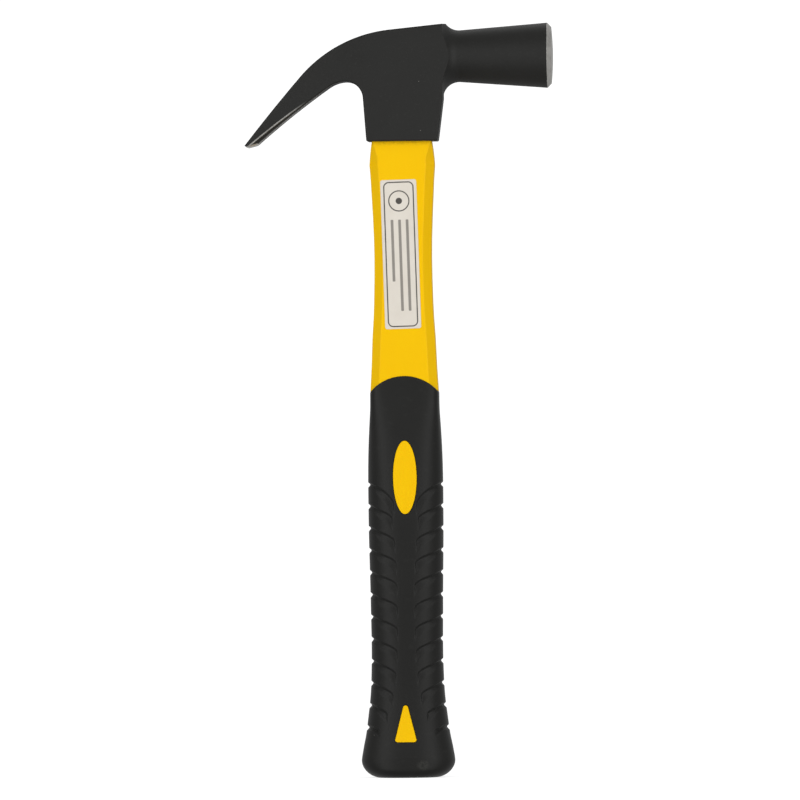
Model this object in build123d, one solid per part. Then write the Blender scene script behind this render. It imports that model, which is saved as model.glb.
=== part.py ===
from build123d import *
import math
import os

# A claw hammer with a forged head on a moulded fibreglass handle, in millimetres.
# It stands on its butt: the handle axis is +Z and starts at the butt's flat end.
# +X points at the striking face, -X at the claws, and +Y and -Y are the two cheeks.

# Overall levels along the handle
HEAD_TOP = 330.0  # highest corner of the head, just behind the neck
SKIRT_RIM = 278.7  # lower rim of the eye skirt, where the jacket's shoulder butts
GRIP_CREST = 175.9  # top of the grip's arched upper edge

# Head: cheeks and neck
CHEEK_HALF = 12.8  # half the thickness across the cheeks
TOP_BEND = (-5.0, 327.55)  # where the straight top edge starts to curve down
POLL_AXIS_Z = 315.8
NECK_X = 25.5  # narrowest point of the poll
NECK_R = 11.35
FLARE_R = 7.25  # concave radius that spreads the neck into the cheeks
FLARE_X = NECK_X - FLARE_R  # front plane of the cheeks, tangent to the flare
FACE_X = 64.1  # rim of the striking face
FACE_R = 14.3
FACE_CHAMFER_X = 1.8
FACE_CHAMFER_R = 1.9
CROWN_R = 120.0  # the striking face is slightly domed

# Head: skirt around the eye
SKIRT_BACK = -15.35  # back edge of the rim
SKIRT_FRONT = 15.85  # front edge of the rim
CROOK_FOOT = (-16.7, 297.9)  # where the skirt's back meets the crook
CROOK_TOP = (-24.85, 305.0)  # highest point of the crook
EYE_X = 24.0
EYE_Y = 17.0
EYE_CORNER = 5.0
EYE_FLARE = 1.0  # chamfer at the eye's upper mouth

# Head: claws
NAPE = (-43.9, 307.4)  # where the back of the head straightens into the claws
CLAW_TIP = (-68.65, 277.35)
CLAW_HEEL = (-67.7, 276.6)  # far side of the blunt end facet
CLAW_UNDER_TIP = (-63.6, 277.6)
CLAW_UNDER_ROOT = (-31.7, 302.6)
CLAW_TIP_HALF = 14.7  # half the width across both claws at their tips
SLOT_ROOT = (-32.5, 310.0)  # on the claws' mid-line, in the side view
SLOT_END = (-69.3, 275.3)
SLOT_ROOT_HALF = 1.0
SLOT_TIP_HALF = 5.1
SLOT_DEPTH = 14.0  # to each side of the mid-line, past both surfaces
SLOT_DRAFT = 9.0  # degrees that each half of the slot's wall opens from its sharp middle
TIP_BEVEL_UP = 1.5  # outer lower bevel of each claw, at the tip, up its side
TIP_BEVEL_IN = 2.2  # the same, in across its underside
EDGE_R = 0.8  # softened edges of the forging

# Handle core and the resin that holds it in the eye
CORE_X = 20.0
CORE_Y = 13.0
CORE_CORNER = 6.0
CORE_BOTTOM = 10.0
CORE_TOP = 326.6
SEAL_TOP = 281.7
EPOXY_TOP = 325.9

# Jacket: an eight-sided section, widest just below the head
JACKET_HALF_Y = 10.0
JACKET_BEVEL_X = 3.7
JACKET_BEVEL_Y = 3.5
SLEEVE_X = 24.4  # the part of the jacket inside the grip
SLEEVE_Y = 17.0
SLEEVE_CORNER = 6.2
SLEEVE_BOTTOM = 7.5
SLEEVE_TOP = GRIP_CREST + 2.0  # runs on into the solid jacket
JACKET_EDGE_R = 0.6

# Jacket sections: height and half-width in X, from inside the grip, past the waist, to the shoulder
JACKET_SECTIONS = [
    (156.0, 15.55),
    (166.0, 15.02),
    (172.0, 14.68),
    (178.0, 14.32),
    (189.5, 13.85),
    (200.0, 13.20),
    (209.0, 12.80),
    (223.2, 12.50),
    (240.0, 12.72),
    (255.0, 13.40),
    (268.2, 14.25),
]
# The facets above the shoulder: height, half-width in X, and how far the bevels cut in
SHOULDER_SECTIONS = [
    (272.0, 13.95, 3.3),
    (275.3, 13.55, 1.9),
    (SKIRT_RIM, 13.00, 0.6),
]

# Grip sections: height, half-width in X, half-width in Y, and the exponent of the superellipse
# that joins them (2 is an ellipse, more is squarer)
GRIP_SECTIONS = [
    (0.0, 20.20, 16.0, 2.5),
    (7.0, 20.55, 15.9, 2.5),
    (13.0, 19.65, 15.3, 2.5),
    (19.0, 18.45, 14.6, 2.5),
    (26.0, 17.50, 14.0, 2.5),
    (36.0, 16.35, 13.3, 2.5),
    (50.0, 15.75, 12.9, 2.5),
    (75.0, 15.85, 12.9, 2.5),
    (112.0, 16.40, 13.1, 2.6),
    (137.0, 16.35, 12.7, 2.8),
    (157.0, 15.65, 11.5, 3.8),
    (168.0, 15.15, 10.7, 5.5),
    (178.0, 15.05, 10.4, 6.5),
]
GRIP_SIDES = 24  # points that each section's closed curve runs through
BUTT_R = 8.2  # rounding of the butt's lower edge
ARCH_R = 19.7  # arched upper edge of the grip
ARCH_HALF_X = 15.0
NOTCH_PITCH = 9.69
NOTCH_FIRST_Z = 22.2
NOTCH_COUNT = 12
GROOVE_WIDTH = 1.7
GROOVE_DEPTH = 0.9
GROOVE_SIDE_X = 15.0  # the groove is straight outside this, and an arc inside it
GROOVE_DROP = 7.6  # how far a groove falls on its way to the spine
GROOVE_ARC_R = 22.7
SPINE_HALF = 4.2  # smooth rib between the left and right grooves

# Windows where the jacket shows through the grip
OVAL_Z = 131.5
OVAL_LENGTH = 32.0
OVAL_WIDTH = 10.3
WEDGE_BOTTOM = 15.7
WEDGE_TOP = 31.7
WEDGE_BASE = 9.8
WEDGE_CREST = 1.7
WEDGE_CORNER = 1.0
WEDGE_X = -0.7  # it sits a little towards the claws

# Label
LABEL_WIDTH = 15.8
LABEL_LENGTH = 65.3
LABEL_THICKNESS = 0.15
LABEL_CORNER = 1.0
LABEL_X = -0.85
LABEL_Z = 229.2
LABEL_TILT = 1.4

REACH = 60.0  # longer than any section, for cutters that pass right through
MARGIN = 10.0  # how far other cutters stand past what they cut
TOL = 0.1  # slack when edges are picked by their position


def bar(width, depth, corner, bottom, top):
    """An upright bar with a rounded rectangular section."""
    section = Pos(0, 0, bottom) * RectangleRounded(width, depth, corner)
    return extrude(section, top - bottom)


# --- head ---------------------------------------------------------------------------------------


def head_side_profile():
    """Side outline of claws, cheeks and skirt, square at the neck."""
    slope = (HEAD_TOP - TOP_BEND[1]) / (FLARE_X + 1.0 - TOP_BEND[0])
    neck_top = (NECK_X, TOP_BEND[1] + slope * (NECK_X - TOP_BEND[0]))
    neck_low = POLL_AXIS_Z - NECK_R - FLARE_R
    top = Line(neck_top, TOP_BEND)
    back = TangentArc(TOP_BEND, NAPE, tangent=top % 1)
    claw_back = TangentArc(NAPE, CLAW_TIP, tangent=back % 1)
    front = Polyline(
        (SKIRT_BACK, SKIRT_RIM),
        (SKIRT_FRONT, SKIRT_RIM),
        (FLARE_X, neck_low),
        (NECK_X, neck_low),
        neck_top,
    )
    tip = Polyline(CLAW_UNDER_TIP, CLAW_HEEL, CLAW_TIP)
    return Plane.XZ * make_face([top, back, claw_back, tip, *underside(), front])


def underside():
    """The skirt's back, the crook and the long arc under the claws, in the side view."""
    skirt_back = Line((SKIRT_BACK, SKIRT_RIM), CROOK_FOOT)
    crook_front = TangentArc(CROOK_FOOT, CROOK_TOP, tangent=skirt_back % 1)
    crook_rear = TangentArc(CROOK_TOP, CLAW_UNDER_ROOT, tangent=crook_front % 1)
    claw_under = TangentArc(CLAW_UNDER_ROOT, CLAW_UNDER_TIP, tangent=crook_rear % 1)
    return [skirt_back, crook_front, crook_rear, claw_under]


def claw_half(x):
    """Half the head's thickness at x: parallel cheeks, then claws that spread to their tips."""
    behind = max(0.0, CROOK_FOOT[0] - x)
    return CHEEK_HALF + (CLAW_TIP_HALF - CHEEK_HALF) * behind / (CROOK_FOOT[0] - CLAW_TIP[0])


def blank():
    """Claws, cheeks and skirt cut to both outlines, with their long edges softened."""
    levels = [NECK_X, CROOK_FOOT[0], CLAW_TIP[0] - MARGIN]
    half = [(x, claw_half(x)) for x in levels]
    mirrored = [(x, -y) for x, y in reversed(half)]
    plan = Pos(0, 0, SKIRT_RIM - MARGIN) * make_face(Polyline(*half, *mirrored, close=True))
    solid = extrude(head_side_profile(), REACH / 2, both=True) & extrude(plan, REACH + MARGIN)
    on_sides = [edge for edge in solid.edges() if abs(edge.center().Y) > CHEEK_HALF - TOL]
    softened = [edge for edge in on_sides if edge.bounding_box().size.X > TOL]
    across_rim = solid.edges().filter_by_position(Axis.Z, SKIRT_RIM - TOL, SKIRT_RIM + TOL)
    softened += [edge for edge in across_rim if edge.bounding_box().size.X < TOL]
    return fillet(softened, EDGE_R)


def poll_axis():
    """Centre line of the neck, the poll and the striking face."""
    return Axis((0, 0, POLL_AXIS_Z), (1, 0, 0))


def neck_bell():
    """Everything behind the neck, turned about the poll, with a concave flare at its front."""
    far = CLAW_TIP[0] - MARGIN
    flare_z = POLL_AXIS_Z + NECK_R + FLARE_R
    flare = CenterArc((NECK_X, flare_z), FLARE_R, 180, 90)
    walls = Polyline(
        (NECK_X, POLL_AXIS_Z + NECK_R),
        (NECK_X, POLL_AXIS_Z),
        (far, POLL_AXIS_Z),
        (far, POLL_AXIS_Z + REACH),
        (FLARE_X, POLL_AXIS_Z + REACH),
        (FLARE_X, flare_z),
    )
    return revolve(Plane.XZ * make_face([flare, walls]), poll_axis())


def poll():
    """Tapered poll with a chamfered, slightly domed striking face."""
    overlap = 1.5
    rim_r = FACE_R - FACE_CHAMFER_R
    rim_x = FACE_X + FACE_CHAMFER_X
    crown = CROWN_R - math.sqrt(CROWN_R**2 - rim_r**2)
    taper = (FACE_R - NECK_R) / (FACE_X - NECK_X)
    sides = Polyline(
        (rim_x + crown, POLL_AXIS_Z),
        (NECK_X - overlap, POLL_AXIS_Z),
        (NECK_X - overlap, POLL_AXIS_Z + NECK_R - taper * overlap),
        (FACE_X, POLL_AXIS_Z + FACE_R),
        (rim_x, POLL_AXIS_Z + rim_r),
    )
    face = RadiusArc((rim_x, POLL_AXIS_Z + rim_r), (rim_x + crown, POLL_AXIS_Z), CROWN_R)
    return revolve(Plane.XZ * make_face([sides, face]), poll_axis())


def nail_slot():
    """Wedge between the claws, with a round root and walls that open both ways from the middle."""
    along = Vector(SLOT_END[0] - SLOT_ROOT[0], 0, SLOT_END[1] - SLOT_ROOT[1])
    length = along.length
    middle = Plane(
        origin=(SLOT_ROOT[0], 0, SLOT_ROOT[1]), x_dir=along, z_dir=along.cross(Vector(0, 1, 0))
    )
    wedge = make_face(
        Polyline(
            (0, SLOT_ROOT_HALF),
            (length, SLOT_TIP_HALF),
            (length, -SLOT_TIP_HALF),
            (0, -SLOT_ROOT_HALF),
            close=True,
        )
    )
    outline = middle * (wedge + Circle(SLOT_ROOT_HALF))
    halves = [extrude(outline, side * SLOT_DEPTH, taper=-SLOT_DRAFT) for side in (1, -1)]
    return halves[0] + halves[1]


def bevel_section(x, z, tangent, side, scale):
    """Triangle across a claw's outer lower edge, whose long side is the bevel there."""
    spare = 0.6  # share of its size by which the triangle stands past both faces
    across = TIP_BEVEL_IN * scale
    up = -TIP_BEVEL_UP * scale * side
    station = Plane(origin=(x, side * claw_half(x), z), x_dir=(0, side, 0), z_dir=tangent)
    corners = [
        (across * spare, up * (1 + spare)),
        (-across * (1 + spare), -up * spare),
        (across * spare, -up * spare),
    ]
    return station * make_face(Polyline(*corners, close=True))


def claw_bevel(side):
    """Cutter for the bevel on a claw's outer lower edge, which grows from nothing to the tip."""
    edge = underside()[-1]
    steps = 3
    smallest = 0.03
    sections = []
    for i in range(steps + 1):
        share = i / steps
        point, tangent = edge @ share, edge % share
        heading = (tangent.X, 0, tangent.Y)
        sections.append(bevel_section(point.X, point.Y, heading, side, max(share, smallest)))
    end = point + tangent * MARGIN
    sections.append(bevel_section(end.X, end.Y, heading, side, 1.0 + MARGIN / edge.length))
    return loft(sections)


def eye_mouth(forged):
    """Edges round the eye's upper mouth."""
    picked = []
    for edge in forged.edges().filter_by_position(Axis.Z, EPOXY_TOP, HEAD_TOP):
        bounds = edge.bounding_box()
        if max(bounds.max.X, -bounds.min.X) < EYE_X / 2 + TOL and bounds.size.Z < EYE_CORNER:
            picked.append(edge)
    return picked


def head():
    """The forging: claws, cheeks, skirt and poll in one piece, with the eye through it."""
    forged = (blank() & neck_bell()) + poll()
    forged = forged - nail_slot() - claw_bevel(1) - claw_bevel(-1)
    forged = forged - bar(EYE_X, EYE_Y, EYE_CORNER, SKIRT_RIM - MARGIN, HEAD_TOP + MARGIN)
    return chamfer(eye_mouth(forged), EYE_FLARE)


# --- handle -------------------------------------------------------------------------------------


def octagon_points(half_x, half_y, cut_x, cut_y):
    """Corners of a rectangle with cut corners, counter-clockwise from +X."""
    x, y = half_x, half_y
    return [
        (x, -y + cut_y),
        (x, y - cut_y),
        (x - cut_x, y),
        (-x + cut_x, y),
        (-x, y - cut_y),
        (-x, -y + cut_y),
        (-x + cut_x, -y),
        (x - cut_x, -y),
    ]


def octagon_section(z, half_x, half_y, cut_x, cut_y):
    """Section of the jacket at one height."""
    corners = octagon_points(half_x, half_y, cut_x, cut_y)
    return Pos(0, 0, z) * make_face(Polyline(*corners, close=True))


def jacket_outer():
    """Octagonal body from below the grip's edge to the shoulder, then the facets under the head."""
    sections = [
        octagon_section(z, half_x, JACKET_HALF_Y, JACKET_BEVEL_X, JACKET_BEVEL_Y)
        for z, half_x in JACKET_SECTIONS
    ]
    facets = [
        octagon_section(z, half_x, JACKET_HALF_Y, bevel, bevel)
        for z, half_x, bevel in SHOULDER_SECTIONS
    ]
    body = loft(sections) + loft([sections[-1], *facets])
    upright = [edge for edge in body.edges() if edge.bounding_box().size.Z > MARGIN / 2]
    return fillet(upright, JACKET_EDGE_R)


def grip_section(z, half_x, half_y, exponent, inset):
    """Superellipse pulled in all round by the inset, as one closed curve."""
    points = []
    for i in range(GRIP_SIDES):
        turn = 2 * math.pi * (i + 0.5) / GRIP_SIDES
        across, up = math.cos(turn), math.sin(turn)
        share_x = abs(across / (half_x - inset)) ** exponent
        share_y = abs(up / (half_y - inset)) ** exponent
        radius = (share_x + share_y) ** (-1 / exponent)
        points.append(Vector(radius * across, radius * up))
    spacing = [i / GRIP_SIDES for i in range(GRIP_SIDES + 1)]
    curve = Edge.make_spline(points, periodic=True, parameters=spacing)
    return Pos(0, 0, z) * make_face(curve)


def grip_outer(inset=0.0):
    """The grip's outer form, without its grooves, arched edge or windows."""
    body = loft([grip_section(*station, inset) for station in GRIP_SECTIONS])
    return body if inset else fillet(body.edges().filter_by_position(Axis.Z, -TOL, TOL), BUTT_R)


def under_arch():
    """Everything below the grip's arched upper edge."""
    spring_z = GRIP_CREST - ARCH_R + math.sqrt(ARCH_R**2 - ARCH_HALF_X**2)
    arch = ThreePointArc((-ARCH_HALF_X, spring_z), (0, GRIP_CREST), (ARCH_HALF_X, spring_z))
    rest = Polyline(
        (ARCH_HALF_X, spring_z),
        (REACH, spring_z),
        (REACH, -REACH),
        (-REACH, -REACH),
        (-REACH, spring_z),
        (-ARCH_HALF_X, spring_z),
    )
    return extrude(Plane.XZ * make_face([arch, rest]), REACH, both=True)


def windows():
    """Prisms of the oval and wedge windows, through the whole handle."""
    oval = Pos(0, OVAL_Z) * Ellipse(OVAL_WIDTH / 2, OVAL_LENGTH / 2)
    wedge = make_face(
        Polyline(
            (WEDGE_BASE / 2, WEDGE_BOTTOM),
            (WEDGE_CREST / 2, WEDGE_TOP),
            (-WEDGE_CREST / 2, WEDGE_TOP),
            (-WEDGE_BASE / 2, WEDGE_BOTTOM),
            close=True,
        )
    )
    wedge = Pos(WEDGE_X, 0) * fillet(wedge.vertices(), WEDGE_CORNER)
    return [extrude(Plane.XZ * face, REACH, both=True) for face in (oval, wedge)]


def groove_prism(side, notch_z):
    """One groove: level at the side, then an arc that falls towards the spine."""
    rise = GROOVE_WIDTH / 2
    outer = (side * REACH / 2, notch_z + rise)
    bend = (side * GROOVE_SIDE_X, notch_z + rise)
    end = (side * SPINE_HALF, notch_z + rise - GROOVE_DROP)
    arc = RadiusArc(bend, end, side * GROOVE_ARC_R)
    lowered = Pos(0, -GROOVE_WIDTH) * arc
    edges = [
        Line(outer, bend),
        arc,
        Line(end, (end[0], end[1] - GROOVE_WIDTH)),
        lowered,
        Line((bend[0], bend[1] - GROOVE_WIDTH), (outer[0], outer[1] - GROOVE_WIDTH)),
        Line((outer[0], outer[1] - GROOVE_WIDTH), outer),
    ]
    return extrude(Plane.XZ * make_face(edges), REACH / 2, both=True)


def handle_jacket(grip_body, window_prisms):
    """Yellow moulding: octagonal shaft, sleeve inside the grip, and bosses that fill the windows."""
    core_space = bar(CORE_X, CORE_Y, CORE_CORNER, CORE_BOTTOM, HEAD_TOP)
    sleeve = bar(SLEEVE_X, SLEEVE_Y, SLEEVE_CORNER, SLEEVE_BOTTOM, SLEEVE_TOP)
    shaft = jacket_outer() - under_arch()
    jacket = shaft + sleeve
    for prism in window_prisms:
        jacket = jacket + (grip_body & prism)
    return jacket - core_space


def grip(grip_body, window_prisms):
    """Rubber sleeve with a herringbone of grooves down each side of a smooth spine."""
    floor_body = grip_outer(inset=GROOVE_DEPTH)
    levels = [NOTCH_FIRST_Z + i * NOTCH_PITCH for i in range(NOTCH_COUNT)]
    prisms = [groove_prism(side, z) for z in levels for side in (1, -1)]
    grooves = Part() + prisms - floor_body
    sleeve_space = bar(SLEEVE_X, SLEEVE_Y, SLEEVE_CORNER, SLEEVE_BOTTOM, HEAD_TOP)
    body = (grip_body & under_arch()) - sleeve_space
    return body - [*window_prisms, *grooves.solids()]


def fibreglass_core():
    """Solid rod from inside the butt to just above the head."""
    return bar(CORE_X, CORE_Y, CORE_CORNER, CORE_BOTTOM, CORE_TOP)


def eye_seal():
    """Soft collar that fills the eye's mouth around the core."""
    collar = bar(EYE_X, EYE_Y, EYE_CORNER, SKIRT_RIM, SEAL_TOP)
    return collar - bar(CORE_X, CORE_Y, CORE_CORNER, SKIRT_RIM - MARGIN, SEAL_TOP + MARGIN)


def epoxy_fill():
    """Resin between the core and the eye's wall, above the seal."""
    fill = bar(EYE_X, EYE_Y, EYE_CORNER, SEAL_TOP, EPOXY_TOP)
    return fill - bar(CORE_X, CORE_Y, CORE_CORNER, SEAL_TOP - MARGIN, EPOXY_TOP + MARGIN)


def label():
    """Thin film with rounded corners, stuck slightly askew on the jacket's -Y flat."""
    film = RectangleRounded(LABEL_WIDTH, LABEL_LENGTH, LABEL_CORNER)
    film = Pos(LABEL_X, LABEL_Z) * Rot(0, 0, LABEL_TILT) * film
    return Pos(0, -JACKET_HALF_Y, 0) * extrude(Plane.XZ * film, LABEL_THICKNESS)


def main():
    grip_body = grip_outer()
    window_prisms = windows()
    pieces = {
        "head": head(),
        "fibreglass_core": fibreglass_core(),
        "handle_jacket": handle_jacket(grip_body, window_prisms),
        "grip": grip(grip_body, window_prisms),
        "epoxy_fill": epoxy_fill(),
        "eye_seal": eye_seal(),
        "label": label(),
    }
    os.makedirs("parts", exist_ok=True)
    for name, solid in pieces.items():
        solid.label = name
        export_step(solid, f"parts/{name}.step")


main()
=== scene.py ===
"""Looks of the claw hammer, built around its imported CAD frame.

The hammer stands on its butt. +Z runs up the handle, +X points at the striking face and the
label faces -Y. Sizes are in millimetres and turn into metres where an object is made.
"""

import math

import bmesh
import bpy
import numpy as np
from mathutils import Matrix, Vector


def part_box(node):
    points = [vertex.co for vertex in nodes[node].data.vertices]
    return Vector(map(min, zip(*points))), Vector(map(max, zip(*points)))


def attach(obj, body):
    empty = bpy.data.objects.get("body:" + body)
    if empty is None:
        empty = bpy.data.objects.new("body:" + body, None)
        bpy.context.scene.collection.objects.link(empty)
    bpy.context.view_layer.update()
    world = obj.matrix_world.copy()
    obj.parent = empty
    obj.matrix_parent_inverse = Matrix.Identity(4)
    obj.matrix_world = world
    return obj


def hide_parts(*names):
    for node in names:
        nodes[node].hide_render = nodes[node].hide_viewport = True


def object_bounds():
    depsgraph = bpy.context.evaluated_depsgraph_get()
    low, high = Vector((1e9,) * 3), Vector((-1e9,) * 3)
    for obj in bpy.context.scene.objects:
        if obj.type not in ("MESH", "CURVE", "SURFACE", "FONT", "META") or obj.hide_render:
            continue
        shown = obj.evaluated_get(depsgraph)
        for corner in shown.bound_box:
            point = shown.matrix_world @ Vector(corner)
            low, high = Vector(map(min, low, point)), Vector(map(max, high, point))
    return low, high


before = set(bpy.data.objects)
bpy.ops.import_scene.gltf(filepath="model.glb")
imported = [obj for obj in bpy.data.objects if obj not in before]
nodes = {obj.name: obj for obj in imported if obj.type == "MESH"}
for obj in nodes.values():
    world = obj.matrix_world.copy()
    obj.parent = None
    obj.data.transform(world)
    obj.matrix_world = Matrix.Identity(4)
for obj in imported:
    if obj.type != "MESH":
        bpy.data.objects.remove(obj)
cad_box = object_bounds()

MM = 0.001


def box_mm(node):
    """Lowest and highest corner of a CAD node, in millimetres."""
    low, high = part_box(node)
    return low / MM, high / MM


GRIP_HIGH = box_mm("grip")[1]
SEAL_LOW = box_mm("eye_seal")[0]

# Camera: where the picture's middle falls on the hammer, and how wide the picture is there
VIEW_CENTRE = (-2.12, 0.0, 165.4)
VIEW_WIDTH = 350.7
CAMERA_AZIMUTH = 1.7
CAMERA_ROLL = 0.603
LENS = 700.0
SENSOR = 36.0

# Head
POLL_AXIS_Z = 315.8
PAINT_EDGE_X = 64.0  # the striking face is bare from here
CLAW_ROOT_X = -32.0
CLAW_ARC = (167.6, 15.5)  # centre of the long arc under the claws, in the side view
CLAW_ARC_R = 349.5
CLAW_ARC_LENGTH = 33.0  # how far in x it runs
BEVEL_UP = 1.5  # height of the outer lower bevel at the tip
TIP_HEEL = (-67.7, 276.6)  # lowest corner of the blunt tip
TIP_SLOPE = 0.275  # rise of the tip's lower edge, over its run in x
TIP_BARE_X = -62.6  # the bare blunt tip ends here
CLAW_INNER_Y = 6.0  # the slot's walls are nearer to the middle than this
CLAW_OUTER_Y = 11.0  # the outer bevel is further from the middle than this

# Grip body, the same stations as the CAD: height, half-width, half-depth, squareness
GRIP_STATIONS = [
    (0.0, 20.20, 16.0, 2.5),
    (7.0, 20.55, 15.9, 2.5),
    (13.0, 19.65, 15.3, 2.5),
    (19.0, 18.45, 14.6, 2.5),
    (26.0, 17.50, 14.0, 2.5),
    (36.0, 16.35, 13.3, 2.5),
    (50.0, 15.75, 12.9, 2.5),
    (75.0, 15.85, 12.9, 2.5),
    (112.0, 16.40, 13.1, 2.6),
    (137.0, 16.35, 12.7, 2.8),
    (157.0, 15.65, 11.5, 3.8),
    (168.0, 15.15, 10.7, 5.5),
    (178.0, 15.05, 10.4, 6.5),
]
BUTT_R = 8.2  # rounding of the butt's edge at the sides
BUTT_R_DEEP = 4.0  # rounding of the butt's edge at the front and back, where it is tighter
BUTT_HIGHLIGHT = (6.7, 5.6)  # painted highlight: small lighter patch on the front of the butt, in x and z
ARCH_R = 19.7
ARCH_HALF = 15.0
LIP_GAP = 0.12  # the rubber stops short of the yellow moulding
LIP_R = 0.35
SLEEVE_HALF_X = 12.2
SLEEVE_HALF_Y = 8.5
SLEEVE_CORNER = 6.2
SLEEVE_BOTTOM = 7.5

# Herringbone: twelve notches a side, whose grooves run in and hook down to a smooth spine
NOTCH_FIRST = 22.2
NOTCH_PITCH = 9.69
NOTCHES = 12
SPINE_WAIST_Z = 72.0
SPINE_HALF = 3.7
SPINE_SPREAD = 1.3
SPINE_REACH_DOWN = 29.7
SPINE_REACH_UP = 35.3
SPINE_POWER = 2.8
SIDE_X = 15.8  # where a groove leaves the level part round the side
LEAN = 3.2
HOOK = 3.4
HOOK_LENGTH = 2.2
TOP_LEAN = 2.0
TOP_HOOK = 7.5
TOP_HOOK_LENGTH = 3.6
TOP_END = 4.9
LOWEST_ENDS = (12.4, 8.8)  # the two lowest grooves stop this far out, clear of the wedge window
FRONT_DEPTH = 0.54  # of a groove on the level front, and how much deeper it is at the side
SIDE_DEEPER = 0.41
FRONT_WALL = 0.85  # width of a groove's upper wall, in the same way
SIDE_WALL_WIDER = 0.15
FRONT_SLOPE = 3.2  # width of its lower slope
SIDE_SLOPE_NARROWER = 1.9
SIDE_FROM, SIDE_TO = 10.5, 14.5  # distances out over which the front turns into the side

# Windows in the grip
WINDOW_GAP = 0.3
OVAL_Z = 131.5
OVAL_LENGTH = 32.0
OVAL_WIDTH = 10.3
WEDGE_BOTTOM = 15.7
WEDGE_TOP = 31.7
WEDGE_BASE = 9.8
WEDGE_CREST = 1.7
WEDGE_CORNER = 1.0
WEDGE_X = -0.7

# Label
LABEL_X = -0.85
LABEL_Z = 229.2
LABEL_TILT = 1.4
LABEL_WIDTH = 15.8
LABEL_LENGTH = 65.3
LABEL_CORNER = 1.0
BORDER_ASIDE = 1.5  # from the film's long edges to the printed border
BORDER_ENDS = 1.1
BORDER_CORNER = 2.2
RING_DOWN = 9.3  # from the film's top edge to the middle of the ring
RING_R = 4.4
DOT_R = 1.5
BARS_DOWN = 17.5
BAR_PITCH = 3.3
BAR_HALF = 0.6
BAR_CORNER = 0.3
BARS = ((1, 40.0), (0, 40.0), (-1, 27.0))  # row across the film, and length


# --- node trees -----------------------------------------------------------------------------


class Num:
    """A number in a node tree. Arithmetic on it adds math nodes."""

    def __init__(self, tree, socket):
        self.tree = tree
        self.socket = socket

    def op(self, kind, *others, clamp=False):
        node = self.tree.nodes.new("ShaderNodeMath")
        node.operation = kind
        node.use_clamp = clamp
        for slot, value in enumerate((self, *others)):
            if isinstance(value, Num):
                self.tree.links.new(value.socket, node.inputs[slot])
            else:
                node.inputs[slot].default_value = value
        return Num(self.tree, node.outputs[0])

    def __add__(self, other):
        return self.op("ADD", other)

    def __sub__(self, other):
        return self.op("SUBTRACT", other)

    def __mul__(self, other):
        return self.op("MULTIPLY", other)

    def __rmul__(self, other):
        return self.op("MULTIPLY", other)

    def __radd__(self, other):
        return self.op("ADD", other)

    def __rsub__(self, other):
        return self.op("MULTIPLY", -1.0).op("ADD", other)

    def __truediv__(self, other):
        return self.op("DIVIDE", other)

    def __pow__(self, other):
        return self.op("POWER", other)

    def __abs__(self):
        return self.op("ABSOLUTE")

    def lower(self, other):
        return self.op("MINIMUM", other)

    def higher(self, other):
        return self.op("MAXIMUM", other)

    def root(self):
        return self.op("SQRT")

    def between(self, start, end):
        """Smooth step from 0 at start to 1 at end, and the other way when end is below start."""
        node = self.tree.nodes.new("ShaderNodeMapRange")
        node.interpolation_type = "SMOOTHSTEP"
        self.tree.links.new(self.socket, node.inputs["Value"])
        node.inputs["From Min"].default_value = start
        node.inputs["From Max"].default_value = end
        return Num(self.tree, node.outputs["Result"])


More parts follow.
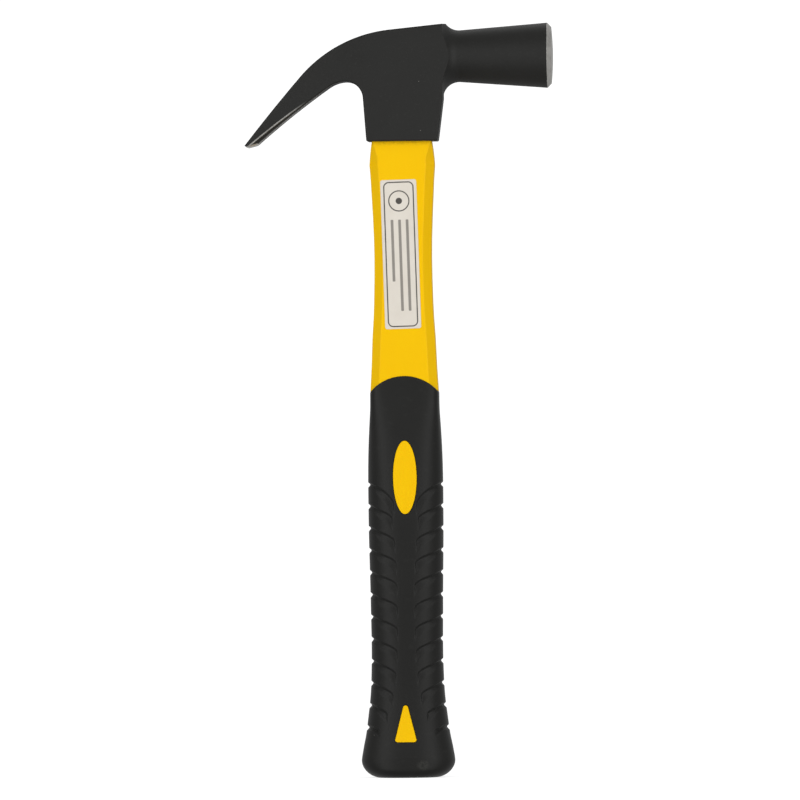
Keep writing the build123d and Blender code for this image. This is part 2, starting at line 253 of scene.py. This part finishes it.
class Finish:
    """A procedural material on one Principled shader, with its coordinates in millimetres."""

    def __init__(self, name):
        self.material = bpy.data.materials.new(name)
        self.material.use_nodes = True
        self.tree = self.material.node_tree
        self.tree.nodes.clear()
        self.shader = self.tree.nodes.new("ShaderNodeBsdfPrincipled")
        output = self.tree.nodes.new("ShaderNodeOutputMaterial")
        self.tree.links.new(self.shader.outputs["BSDF"], output.inputs["Surface"])
        scaled = self.tree.nodes.new("ShaderNodeVectorMath")
        scaled.operation = "SCALE"
        scaled.inputs["Scale"].default_value = 1 / MM
        source = self.tree.nodes.new("ShaderNodeTexCoord")
        self.tree.links.new(source.outputs["Object"], scaled.inputs["Vector"])
        self.place = scaled.outputs["Vector"]
        self.x, self.y, self.z = self.split(self.place)

    def split(self, vector):
        node = self.tree.nodes.new("ShaderNodeSeparateXYZ")
        self.tree.links.new(vector, node.inputs["Vector"])
        return [Num(self.tree, output) for output in node.outputs]

    def join(self, *numbers):
        node = self.tree.nodes.new("ShaderNodeCombineXYZ")
        for slot, number in enumerate(numbers):
            if isinstance(number, Num):
                self.tree.links.new(number.socket, node.inputs[slot])
            else:
                node.inputs[slot].default_value = number
        return node.outputs["Vector"]

    def noise(self, size, detail=2.0, stretch=(1, 1, 1), place=None):
        """Noise from about 0 to 1 with features about `size` millimetres across."""
        moved = self.tree.nodes.new("ShaderNodeVectorMath")
        moved.operation = "MULTIPLY"
        self.tree.links.new(place or self.place, moved.inputs[0])
        moved.inputs[1].default_value = [1 / (size * s) for s in stretch]
        node = self.tree.nodes.new("ShaderNodeTexNoise")
        node.inputs["Scale"].default_value = 1.0
        node.inputs["Detail"].default_value = detail
        self.tree.links.new(moved.outputs["Vector"], node.inputs["Vector"])
        return Num(self.tree, node.outputs["Fac"])

    def specks(self, spacing, radius, share):
        """1 inside small round specks, kept in the given share of the cells, and 0 elsewhere."""
        node = self.tree.nodes.new("ShaderNodeTexVoronoi")
        node.inputs["Scale"].default_value = 1 / spacing
        self.tree.links.new(self.place, node.inputs["Vector"])
        chance = self.split(node.outputs["Color"])[0]
        kept = chance.between(share + 0.01, share)
        away = Num(self.tree, node.outputs["Distance"]) * spacing
        return kept * away.between(radius, radius / 2)

    def normal(self):
        node = self.tree.nodes.new("ShaderNodeNewGeometry")
        return node.outputs["Normal"]

    def edges(self, radius):
        """How sharply the surface turns within this distance: near 0 on flats, more at corners."""
        bevel = self.tree.nodes.new("ShaderNodeBevel")
        bevel.samples = 8
        bevel.inputs["Radius"].default_value = radius * MM
        dot = self.tree.nodes.new("ShaderNodeVectorMath")
        dot.operation = "DOT_PRODUCT"
        self.tree.links.new(bevel.outputs["Normal"], dot.inputs[0])
        self.tree.links.new(self.normal(), dot.inputs[1])
        return 1.0 - Num(self.tree, dot.outputs["Value"])

    def blend(self, share, low, high):
        """Colour that goes from low to high with the share. Each is an RGB triple or a socket."""
        node = self.tree.nodes.new("ShaderNodeMix")
        node.data_type = "RGBA"
        self.tree.links.new(share.socket, node.inputs["Factor"])
        for slot, colour in ((6, low), (7, high)):
            if isinstance(colour, tuple):
                node.inputs[slot].default_value = (*colour, 1.0)
            else:
                self.tree.links.new(colour, node.inputs[slot])
        return node.outputs[2]

    def set(self, **inputs):
        """Wires or sets the shader's inputs, named in lower case with underscores."""
        for name, value in inputs.items():
            slot = self.shader.inputs[name.replace("_", " ").title().replace("Ior", "IOR")]
            if isinstance(value, Num):
                self.tree.links.new(value.socket, slot)
            elif isinstance(value, bpy.types.NodeSocket):
                self.tree.links.new(value, slot)
            else:
                slot.default_value = value

    def relief(self, height):
        """Bumps the surface by a height in millimetres."""
        node = self.tree.nodes.new("ShaderNodeBump")
        node.inputs["Strength"].default_value = 1.0
        node.inputs["Distance"].default_value = MM
        self.tree.links.new(height.socket, node.inputs["Height"])
        self.tree.links.new(node.outputs["Normal"], self.shader.inputs["Normal"])


def lerp(share, low, high):
    """Number that goes from low to high as the share goes from 0 to 1."""
    return share * (high - low) + low


# --- materials ------------------------------------------------------------------------------


def head_finish():
    """Satin black paint over the forging, bare steel at the face and where the paint is rubbed."""
    f = Finish("painted_forging")
    broad = f.noise(14.0)
    fine = f.noise(0.9, detail=3.0)
    ragged = f.noise(1.4, detail=3.0) - 0.5

    radius = (f.y * f.y + (f.z - POLL_AXIS_Z) ** 2.0).root()
    face = (f.x + ragged * 0.35).between(PAINT_EDGE_X - 0.08, PAINT_EDGE_X + 0.08)
    sideways = abs(f.split(f.normal())[1])
    slot = sideways.between(0.55, 0.75) * abs(f.y).between(CLAW_INNER_Y + 0.3, CLAW_INNER_Y)
    slot = slot * f.x.between(CLAW_ROOT_X + 1.0, CLAW_ROOT_X - 6.0) * lerp(broad, 0.35, 1.0)
    over_tip = f.z - TIP_HEEL[1] - (f.x - TIP_HEEL[0]) * TIP_SLOPE
    tip = over_tip.between(0.60, 0.35) * f.x.between(TIP_BARE_X, TIP_BARE_X - 0.6)
    to_arc = ((f.x - CLAW_ARC[0]) ** 2.0 + (f.z - CLAW_ARC[1]) ** 2.0).root() - CLAW_ARC_R
    along = (CLAW_ROOT_X - f.x) / CLAW_ARC_LENGTH
    ridge = abs(to_arc - along * BEVEL_UP - 0.15).between(0.42, 0.12) * along.between(0.25, 0.6)
    ridge = ridge * abs(f.y).between(CLAW_OUTER_Y, CLAW_OUTER_Y + 1.0)
    ridge = ridge * lerp(f.noise(2.5), 0.3, 0.9)
    bare = face.higher(slot).higher(tip).higher(ridge)

    paint = f.blend(broad, (0.0086, 0.0086, 0.0077), (0.0124, 0.0124, 0.0112))
    paint = f.blend(fine.between(0.55, 0.75) * 0.5, paint, (0.020, 0.020, 0.0185))
    paint = f.blend(f.specks(7.0, 0.16, 0.22) * 0.8, paint, (0.30, 0.29, 0.27))
    turned = f.noise(0.22, detail=3.0, place=f.join(radius, f.x * 0.3, 0.0))
    stain = f.noise(3.5, detail=4.0)
    steel = f.blend(turned, (0.42, 0.41, 0.385), (0.72, 0.71, 0.68))
    steel = f.blend(stain.between(0.45, 0.75) * 0.5, steel, (0.27, 0.26, 0.235))

    f.set(
        base_color=f.blend(bare, paint, steel),
        metallic=bare,
        roughness=lerp(bare, lerp(fine, 0.48, 0.60), lerp(turned, 0.30, 0.48)),
        specular_ior_level=0.27,
    )
    peel = f.noise(1.3, detail=1.0) * 0.010 + f.noise(0.35) * 0.004
    forged = f.noise(9.0) * 0.10 + f.noise(4.0) * 0.02
    f.relief(peel * (1.0 - bare) + forged + turned * bare * 0.006)
    return f.material


def moulded_yellow_finish():
    """Semi-gloss yellow moulding with a faint parting line, flow marks, fine scratches and painted
    shade under the head.
    """
    f = Finish("yellow_moulding")
    broad = f.noise(30.0, stretch=(1, 1, 2))
    flow = f.noise(5.0, detail=2.0, stretch=(1, 1, 6))
    scratch = f.noise(0.5, detail=1.0, stretch=(1, 1, 30)).between(0.66, 0.72)
    colour = f.blend(broad, (0.875, 0.502, 0.0), (0.930, 0.562, 0.0))
    colour = f.blend(flow.between(0.5, 0.9) * 0.25, colour, (0.96, 0.60, 0.0))
    # painted shade: the yellow darkens, mottled, in a band just under the head's skirt
    shade_under_head = f.z.between(SEAL_LOW.z - 2.5, SEAL_LOW.z) * f.noise(1.2).between(0.35, 0.7)
    colour = f.blend(shade_under_head * 0.25, colour, (0.25, 0.14, 0.01))
    f.set(
        base_color=colour,
        roughness=lerp(f.noise(3.0), 0.34, 0.44) + scratch * 0.12,
        specular_ior_level=0.09,
        subsurface_weight=0.06,
        subsurface_radius=(1.0, 0.55, 0.1),
        subsurface_scale=MM,
    )
    seam = abs(f.y).between(0.22, 0.0) * 0.05
    f.relief(f.noise(2.4, detail=1.0) * 0.012 + f.noise(0.4) * 0.002 + seam - scratch * 0.002)
    return f.material


def rubber_finish():
    """Matt black rubber with a fine grain, scuffs, dust, a parting line, a slight sheen and a
    painted highlight on the front of the butt.
    """
    f = Finish("grip_rubber")
    broad = f.noise(18.0)
    grain = f.noise(0.28, detail=2.0)
    scuff = f.noise(2.0, detail=4.0, stretch=(2, 2, 1)).between(0.56, 0.78)
    worn = f.edges(0.5).between(0.01, 0.10)
    colour = f.blend(broad, (0.0056, 0.0056, 0.0049), (0.0086, 0.0086, 0.0075))
    colour = f.blend(scuff * 0.3, colour, (0.018, 0.018, 0.016))
    colour = f.blend(worn * 0.25, colour, (0.026, 0.026, 0.023))
    # painted highlight: a lighter, mottled patch on the front of the butt
    butt_highlight = rounded_box(f.x - BUTT_HIGHLIGHT[0], f.z - BUTT_HIGHLIGHT[1], 2.4, 1.9, 1.6).between(0.7, -0.7)
    butt_highlight = butt_highlight * f.y.between(0.0, -1.0) * f.noise(0.8, detail=3.0).between(0.3, 0.6)
    colour = f.blend(butt_highlight * 0.5, colour, (0.035, 0.035, 0.031))
    dust = f.specks(5.0, 0.17, 0.10)
    colour = f.blend(dust * 0.8, colour, (0.35, 0.34, 0.31))
    f.set(
        base_color=colour,
        roughness=lerp(grain, 0.45, 0.57) - worn * 0.06,
        specular_ior_level=0.23,
        sheen_weight=0.12,
        sheen_roughness=0.4,
    )
    seam = abs(f.y).between(0.25, 0.0) * 0.06
    f.relief(grain * 0.010 + f.noise(1.1) * 0.008 + seam)
    return f.material


def fibreglass_finish():
    """Cut end of the pultruded core: pale resin with bundles of glass rovings."""
    f = Finish("fibreglass_end")
    strands = f.noise(0.35, detail=2.0, stretch=(1, 1, 60))
    bundles = f.noise(2.0, detail=2.0, stretch=(1, 1, 40))
    colour = f.blend(strands.between(0.35, 0.65), (0.42, 0.33, 0.16), (0.66, 0.58, 0.38))
    colour = f.blend(bundles.between(0.45, 0.75) * 0.5, colour, (0.30, 0.22, 0.09))
    f.set(base_color=colour, roughness=lerp(strands, 0.45, 0.65))
    f.relief(strands * 0.04 + bundles * 0.03)
    return f.material


def epoxy_finish():
    """Cast dark resin with a slightly sunken, dimpled top."""
    f = Finish("cast_epoxy")
    cloud = f.noise(3.0, detail=3.0)
    colour = f.blend(cloud, (0.050, 0.048, 0.042), (0.090, 0.085, 0.075))
    pits = f.specks(1.1, 0.18, 0.35)
    f.set(base_color=f.blend(pits, colour, (0.02, 0.02, 0.02)), roughness=lerp(cloud, 0.22, 0.38))
    f.relief(cloud * 0.12 - pits * 0.1)
    return f.material


def seal_finish():
    """Soft dark collar that closes the gap under the head."""
    f = Finish("seal_rubber")
    grain = f.noise(0.4, detail=2.0)
    colour = f.blend(grain, (0.012, 0.012, 0.011), (0.022, 0.022, 0.020))
    f.set(base_color=colour, roughness=lerp(grain, 0.55, 0.7), specular_ior_level=0.3)
    f.relief(grain * 0.02)
    return f.material


def rounded_box(x, z, half_x, half_z, corner):
    """Distance to a rounded rectangle's outline: negative inside it."""
    dx = (abs(x) - (half_x - corner)).higher(0.0)
    dz = (abs(z) - (half_z - corner)).higher(0.0)
    return (dx * dx + dz * dz).root() - corner


def printed_bars(across, down):
    """Ink of three plain bars."""
    ink = None
    for row, length in BARS:
        bar_down = down - (BARS_DOWN + length / 2)
        bar = rounded_box(across - row * BAR_PITCH, bar_down, BAR_HALF, length / 2, BAR_CORNER)
        bar = bar.between(0.1, -0.1)
        ink = bar if ink is None else ink.higher(bar)
    return ink


def ring_mark(across, down):
    """A plain ring with a dot in it."""
    down = down - RING_DOWN
    radius = (across * across + down * down).root()
    ring = abs(radius - RING_R).between(0.32, 0.18)
    return ring.higher(radius.between(DOT_R, DOT_R - 0.2))


def label_finish():
    """Off-white film printed with a border, a ring mark and plain bars."""
    f = Finish("printed_film")
    tilt = math.radians(LABEL_TILT)
    from_x, from_z = f.x - LABEL_X, f.z - LABEL_Z
    across = from_x * math.cos(tilt) + from_z * math.sin(tilt)
    up = from_z * math.cos(tilt) - from_x * math.sin(tilt)
    down = LABEL_LENGTH / 2 - up  # from the film's top edge
    half_x, half_z = LABEL_WIDTH / 2, LABEL_LENGTH / 2
    frame_x, frame_z = half_x - BORDER_ASIDE, half_z - BORDER_ENDS
    border = abs(rounded_box(across, up, frame_x, frame_z, BORDER_CORNER)).between(0.34, 0.18)
    ink = border.higher(ring_mark(across, down)).higher(printed_bars(across, down) * 0.7)
    ink = ink * lerp(f.noise(0.35, detail=2.0), 0.86, 1.0)
    paper = f.blend(f.noise(6.0, detail=3.0), (0.665, 0.615, 0.54), (0.74, 0.695, 0.62))
    rim = rounded_box(across, up, half_x, half_z, LABEL_CORNER).between(-0.35, 0.0)
    paper = f.blend(rim * 0.3, paper, (0.52, 0.46, 0.36))
    f.set(
        base_color=f.blend(ink, paper, (0.030, 0.027, 0.024)),
        roughness=lerp(ink, 0.42, 0.34),
        specular_ior_level=0.35,
    )
    f.relief(f.noise(1.5) * 0.006 + f.noise(0.2) * 0.002)
    return f.material


def stage_finish():
    """Pale, even sweep. Its own faint glow keeps it white where no lamp reaches."""
    f = Finish("pale_sweep")
    mottled = f.noise(60.0, detail=3.0)
    far = (f.x * f.x + f.y * f.y).root().between(300.0, 3000.0)
    f.set(
        base_color=f.blend(mottled, (0.49, 0.49, 0.49), (0.51, 0.51, 0.51)),
        roughness=0.9,
        specular_ior_level=0.0,
        emission_color=(1.0, 1.0, 1.0, 1.0),
        emission_strength=lerp(far, 0.74, 0.87),
    )
    return f.material


def dress(node, material):
    """Gives a CAD node its finish."""
    slots = nodes[node].data.materials
    slots.clear()
    slots.append(material)


# --- grip mesh ------------------------------------------------------------------------------


def smooth_through(at, knots, values):
    """Cubic curve through the values, with slopes taken from each knot's neighbours."""
    knots, values = np.asarray(knots, float), np.asarray(values, float)
    slopes = np.gradient(values, knots)
    i = np.clip(np.searchsorted(knots, at) - 1, 0, len(knots) - 2)
    span = knots[i + 1] - knots[i]
    t = (at - knots[i]) / span
    start = (2 * t**3 - 3 * t**2 + 1) * values[i] + (t**3 - 2 * t**2 + t) * span * slopes[i]
    end = (3 * t**2 - 2 * t**3) * values[i + 1] + (t**3 - t**2) * span * slopes[i + 1]
    return start + end


def ease(value, start, end):
    """Smooth step in numpy, from 0 at start to 1 at end."""
    t = np.clip((value - start) / (end - start), 0, 1)
    return t * t * (3 - 2 * t)


def even_outline(radius_at, count):
    """Points evenly spaced along a closed outline given by its radius at each angle."""
    turn = np.linspace(-math.pi / 2, 1.5 * math.pi, 1441)
    radius = radius_at(np.cos(turn), np.sin(turn))
    x, y = radius * np.cos(turn), radius * np.sin(turn)
    along = np.concatenate([[0.0], np.cumsum(np.hypot(np.diff(x), np.diff(y)))])
    wanted = np.arange(count) / count * along[-1]
    return np.interp(wanted, along, x), np.interp(wanted, along, y)


def superellipse(half_x, half_y, power):
    """Radius of a superellipse as a function of direction."""

    def radius(cos, sin):
        return (abs(cos / half_x) ** power + abs(sin / half_y) ** power) ** (-1 / power)

    return radius


def grip_station(z, inset, inset_deep):
    """Half-width, half-depth and squareness of the grip at a height."""
    levels = [s[0] for s in GRIP_STATIONS]
    half_x, half_y, power = (
        float(smooth_through(z, levels, [s[column] for s in GRIP_STATIONS]))
        for column in (1, 2, 3)
    )
    return half_x - inset, min(half_y, GRIP_HIGH.y) - inset_deep, power


def spine_half(i):
    """Half-width of the smooth spine where this groove ends."""
    if i < len(LOWEST_ENDS):
        return LOWEST_ENDS[i]
    if i == NOTCHES - 1:
        return TOP_END
    end_z = NOTCH_FIRST + i * NOTCH_PITCH - LEAN - HOOK
    reach = SPINE_REACH_UP if end_z > SPINE_WAIST_Z else SPINE_REACH_DOWN
    return SPINE_HALF + SPINE_SPREAD * (abs(end_z - SPINE_WAIST_Z) / reach) ** SPINE_POWER


def groove_depth(x, z):
    """How far the herringbone presses the surface in, at points of the grip."""
    deepest = np.zeros_like(x)
    out = np.abs(x)
    side = ease(out, SIDE_FROM, SIDE_TO)
    for i in range(NOTCHES):
        notch = NOTCH_FIRST + i * NOTCH_PITCH
        end = spine_half(i)
        top = i == NOTCHES - 1
        lean, hook, length = (
            (TOP_LEAN, TOP_HOOK, TOP_HOOK_LENGTH) if top else (LEAN, HOOK, HOOK_LENGTH)
        )
        room = min(1.0, (SIDE_X - end) / (SIDE_X - SPINE_HALF - SPINE_SPREAD))
        lean, hook = lean * room, hook * room
        share = np.clip((out - end) / (SIDE_X - end), 0, 1)
        curl = np.exp(-np.maximum(out - end, -1.0) / length)
        path = notch - lean * (1 - share**2) - hook * curl
        steepness = 2 * lean * share / (SIDE_X - end) + hook / length * curl
        above = (z - path) / np.sqrt(1 + steepness**2)
        wall = FRONT_WALL + SIDE_WALL_WIDER * side
        slope = FRONT_SLOPE - SIDE_SLOPE_NARROWER * side
        profile = np.where(above > 0, 1 - ease(above, 0, wall), (1 - ease(-above, 0, slope)) ** 0.8)
        depth = (FRONT_DEPTH + SIDE_DEEPER * side) * ease(out, end - 0.1, end + 0.5)
        deepest = np.maximum(deepest, depth * profile)
    return deepest


def grip_rows():
    """Heights of the grid's rows at the side of the grip, and the insets of each in x and y."""
    rows = []
    for a in np.linspace(0, math.pi / 2, 28):
        z = BUTT_R * (1 - math.cos(a))
        below = max(0.0, BUTT_R_DEEP - z)
        deep = BUTT_R_DEEP - math.sqrt(BUTT_R_DEEP**2 - below**2)
        rows.append((z, BUTT_R * (1 - math.sin(a)), deep))
    herringbone = np.arange(BUTT_R + 0.4, OVAL_Z - 1.0, 0.3)
    top = GRIP_HIGH.z - LIP_GAP - LIP_R
    rows += [(z, 0.0, 0.0) for z in herringbone]
    rows += [(z, 0.0, 0.0) for z in np.linspace(OVAL_Z - 0.7, top, 64)]
    for a in np.linspace(0, math.pi / 2, 4)[1:]:
        inset = LIP_R * (1 - math.cos(a))
        rows.append((top + LIP_R * math.sin(a), inset, inset))
    return rows


def arch_drop(x):
    """How far below the crest the grip's upper edge is, at x."""
    out = np.minimum(np.abs(x), ARCH_HALF)
    return ARCH_R - np.sqrt(ARCH_R**2 - out**2)


def grid_faces(rows, columns, first=0):
    """Quads between successive closed rows of vertices."""
    r = np.arange(rows - 1)[:, None] * columns
    c = np.arange(columns)[None, :]
    after = (c + 1) % columns
    quads = np.stack([r + c, r + after, r + columns + after, r + columns + c], axis=-1)
    return (quads.reshape(-1, 4) + first).tolist()


def make_grip():
    """Rubber sleeve: the butt, the herringbone, the arched lip, and the hollow for the handle."""
    columns = 336
    settle = 140.0  # above this the rows bend to follow the arch
    crest = GRIP_HIGH.z
    layers = []
    for z, inset, inset_deep in grip_rows():
        x, y = even_outline(superellipse(*grip_station(z, inset, inset_deep)), columns)
        bend = ease(z, settle, crest - LIP_GAP) * arch_drop(x)
        heights = z - bend
        if inset == 0.0:
            along_x, along_y = np.roll(x, -1) - np.roll(x, 1), np.roll(y, -1) - np.roll(y, 1)
            length = np.hypot(along_x, along_y)
            deep = groove_depth(x, heights)
            x, y = x - deep * along_y / length, y + deep * along_x / length
        layers.append(np.stack([x, y, heights], axis=-1))
    outer_rows = len(layers)

    hole = rounded_rectangle(SLEEVE_HALF_X, SLEEVE_HALF_Y, SLEEVE_CORNER)
    hole_x, hole_y = even_outline(hole, columns)
    top = layers[-1][:, 2]
    for share in np.linspace(0, 1, 8):
        layers.append(np.stack([hole_x, hole_y, top + (SLEEVE_BOTTOM - top) * share], axis=-1))

    verts = np.concatenate(layers)
    faces = grid_faces(len(layers), columns)
    last = (len(layers) - 1) * columns
    faces.append(list(range(columns))[::-1])
    faces.append(list(range(last, last + columns)))
    return mesh_object("grip_rubber", verts, faces)


def rounded_rectangle(half_x, half_y, corner):
    """Radius of a rounded rectangle as a function of direction, found by bisection."""

    def radius(cos, sin):
        low, high = np.zeros_like(cos), np.full_like(cos, half_x + half_y)
        for _ in range(40):
            middle = (low + high) / 2
            dx = np.maximum(np.abs(middle * cos) - (half_x - corner), 0)
            dy = np.maximum(np.abs(middle * sin) - (half_y - corner), 0)
            inside = np.hypot(dx, dy) < corner
            low, high = np.where(inside, middle, low), np.where(inside, high, middle)
        return low

    return radius


def mesh_object(name, verts, faces):
    """Object from points in millimetres."""
    mesh = bpy.data.meshes.new(name)
    mesh.from_pydata((np.asarray(verts) * MM).tolist(), [], faces)
    mesh.validate()
    mesh.update()
    made = bpy.data.objects.new(name, mesh)
    bpy.context.scene.collection.objects.link(made)
    return made


def oval_outline():
    """Outline of the oval window, widened by its gap."""
    turn = np.linspace(0, 2 * math.pi, 128, endpoint=False)
    x = (OVAL_WIDTH / 2 + WINDOW_GAP) * np.cos(turn)
    z = OVAL_Z + (OVAL_LENGTH / 2 + WINDOW_GAP) * np.sin(turn)
    return x, z


def wedge_outline():
    """Outline of the wedge window with rounded corners, widened by its gap."""
    corners = [
        Vector((WEDGE_BASE / 2, WEDGE_BOTTOM)),
        Vector((WEDGE_CREST / 2, WEDGE_TOP)),
        Vector((-WEDGE_CREST / 2, WEDGE_TOP)),
        Vector((-WEDGE_BASE / 2, WEDGE_BOTTOM)),
    ]
    points = []
    for i, corner in enumerate(corners):
        before = (corners[i - 1] - corner).normalized()
        after = (corners[(i + 1) % 4] - corner).normalized()
        half = before.angle(after) / 2
        centre = corner + (before + after).normalized() * (WEDGE_CORNER / math.sin(half))
        start = math.atan2(-(before + after).y, -(before + after).x)
        sweep = math.pi / 2 - half
        for turn in np.linspace(-sweep, sweep, 12):
            angle = start + turn
            reach = WEDGE_CORNER + WINDOW_GAP
            points.append(centre + Vector((math.cos(angle), math.sin(angle))) * reach)
    return np.array([p.x + WEDGE_X for p in points]), np.array([p.y for p in points])


def cut_window(target, outline):
    """Cuts a window through the front and back of the grip."""
    x, z = outline
    reach = 30.0
    count = len(x)
    front = np.stack([x, np.full(count, -reach), z], axis=-1)
    back = np.stack([x, np.full(count, reach), z], axis=-1)
    faces = grid_faces(2, count)
    faces += [list(range(count))[::-1], list(range(count, 2 * count))]
    cutter = mesh_object("window_cutter", np.concatenate([front, back]), faces)
    make_outward(cutter)
    modifier = target.modifiers.new("window", "BOOLEAN")
    modifier.operation = "DIFFERENCE"
    modifier.solver = "MANIFOLD"
    modifier.object = cutter
    freeze(target)
    bpy.data.objects.remove(cutter)


def make_outward(made):
    """Turns every face of a closed mesh outwards."""
    work = bmesh.new()
    work.from_mesh(made.data)
    bmesh.ops.recalc_face_normals(work, faces=work.faces)
    work.to_mesh(made.data)
    work.free()


def freeze(made):
    """Applies every modifier."""
    evaluated = made.evaluated_get(bpy.context.evaluated_depsgraph_get())
    mesh = bpy.data.meshes.new_from_object(evaluated)
    made.modifiers.clear()
    made.data = mesh


# --- stage, lamps and camera ----------------------------------------------------------------


def direction(azimuth, elevation):
    """Unit vector from the hammer towards a place round it. Azimuth 0 is in front, at -Y."""
    a, e = math.radians(azimuth), math.radians(elevation)
    return Vector((math.sin(a) * math.cos(e), -math.cos(a) * math.cos(e), math.sin(e)))


def make_stage():
    """Round floor that sweeps up into a pale wall on every side."""
    columns = 96
    flat, bend, wall = 7000.0, 2000.0, 5000.0
    radii = list(np.linspace(60.0, flat, 12))
    profile = [(r, 0.0) for r in radii]
    for a in np.linspace(0, math.pi / 2, 13)[1:]:
        profile.append((flat + bend * math.sin(a), bend * (1 - math.cos(a))))
    profile.append((flat + bend, bend + wall))
    turn = np.linspace(0, 2 * math.pi, columns, endpoint=False)
    rings = []
    for r, z in profile:
        rings.append(np.stack([r * np.cos(turn), r * np.sin(turn), np.full(columns, z)], axis=-1))
    faces = grid_faces(len(profile), columns)
    faces.append(list(range(columns))[::-1])
    stage = mesh_object("sweep", np.concatenate(rings), faces)
    stage.data.shade_smooth()
    stage.data.materials.append(stage_finish())
    stage.visible_diffuse = False
    stage.visible_glossy = False


def make_lamp(name, azimuth, elevation, distance, width, height, power):
    """Soft rectangular lamp aimed at the middle of the hammer."""
    lamp = bpy.data.lights.new(name, "AREA")
    lamp.shape = "RECTANGLE"
    lamp.size, lamp.size_y = width, height
    lamp.energy = power
    made = bpy.data.objects.new(name, lamp)
    middle = Vector((0, 0, (cad_box[0].z + cad_box[1].z) / 2))
    aim = direction(azimuth, elevation)
    made.location = middle + aim * distance
    made.rotation_euler = aim.to_track_quat("Z", "Y").to_euler()
    made.visible_camera = False
    bpy.context.scene.collection.objects.link(made)


def make_lamps():
    make_lamp("key_left", -36, 6, 1.3, 0.7, 1.6, 10.0)
    make_lamp("key_right", 36, 6, 1.3, 0.7, 1.6, 10.0)
    make_lamp("back", 180, 50, 1.5, 1.2, 0.8, 2.2)
    world = bpy.data.worlds.new("studio")
    world.use_nodes = True
    background = world.node_tree.nodes["Background"]
    background.inputs["Color"].default_value = (1.0, 1.0, 1.0, 1.0)
    background.inputs["Strength"].default_value = 0.45
    bpy.context.scene.world = world


def make_camera():
    """Long lens, level with the middle of the picture, rolled by the hammer's slight lean."""
    lens = bpy.data.cameras.new("camera")
    lens.lens, lens.sensor_width = LENS, SENSOR
    distance = VIEW_WIDTH * MM * LENS / SENSOR
    lens.clip_start, lens.clip_end = 0.1, 20.0
    made = bpy.data.objects.new("camera", lens)
    away = direction(CAMERA_AZIMUTH, 0)
    roll = Matrix.Rotation(-math.radians(CAMERA_ROLL), 3, "Z")
    made.rotation_euler = (away.to_track_quat("Z", "Y").to_matrix() @ roll).to_euler()
    made.location = Vector(VIEW_CENTRE) * MM + away * distance
    bpy.context.scene.collection.objects.link(made)
    bpy.context.scene.camera = made


# --- build ----------------------------------------------------------------------------------


def build():
    dress("head", head_finish())
    dress("handle_jacket", moulded_yellow_finish())
    dress("fibreglass_core", fibreglass_finish())
    dress("epoxy_fill", epoxy_finish())
    dress("eye_seal", seal_finish())
    dress("label", label_finish())

    rubber = make_grip()
    make_outward(rubber)
    cut_window(rubber, oval_outline())
    cut_window(rubber, wedge_outline())
    rubber.data.shade_smooth()
    rubber.data.set_sharp_from_angle(angle=math.radians(50))
    rubber.data.materials.clear()
    rubber.data.materials.append(rubber_finish())
    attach(rubber, "root")
    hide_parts("grip")

    make_stage()
    make_lamps()
    make_camera()
    bpy.context.scene.view_settings.view_transform = "Standard"


build()
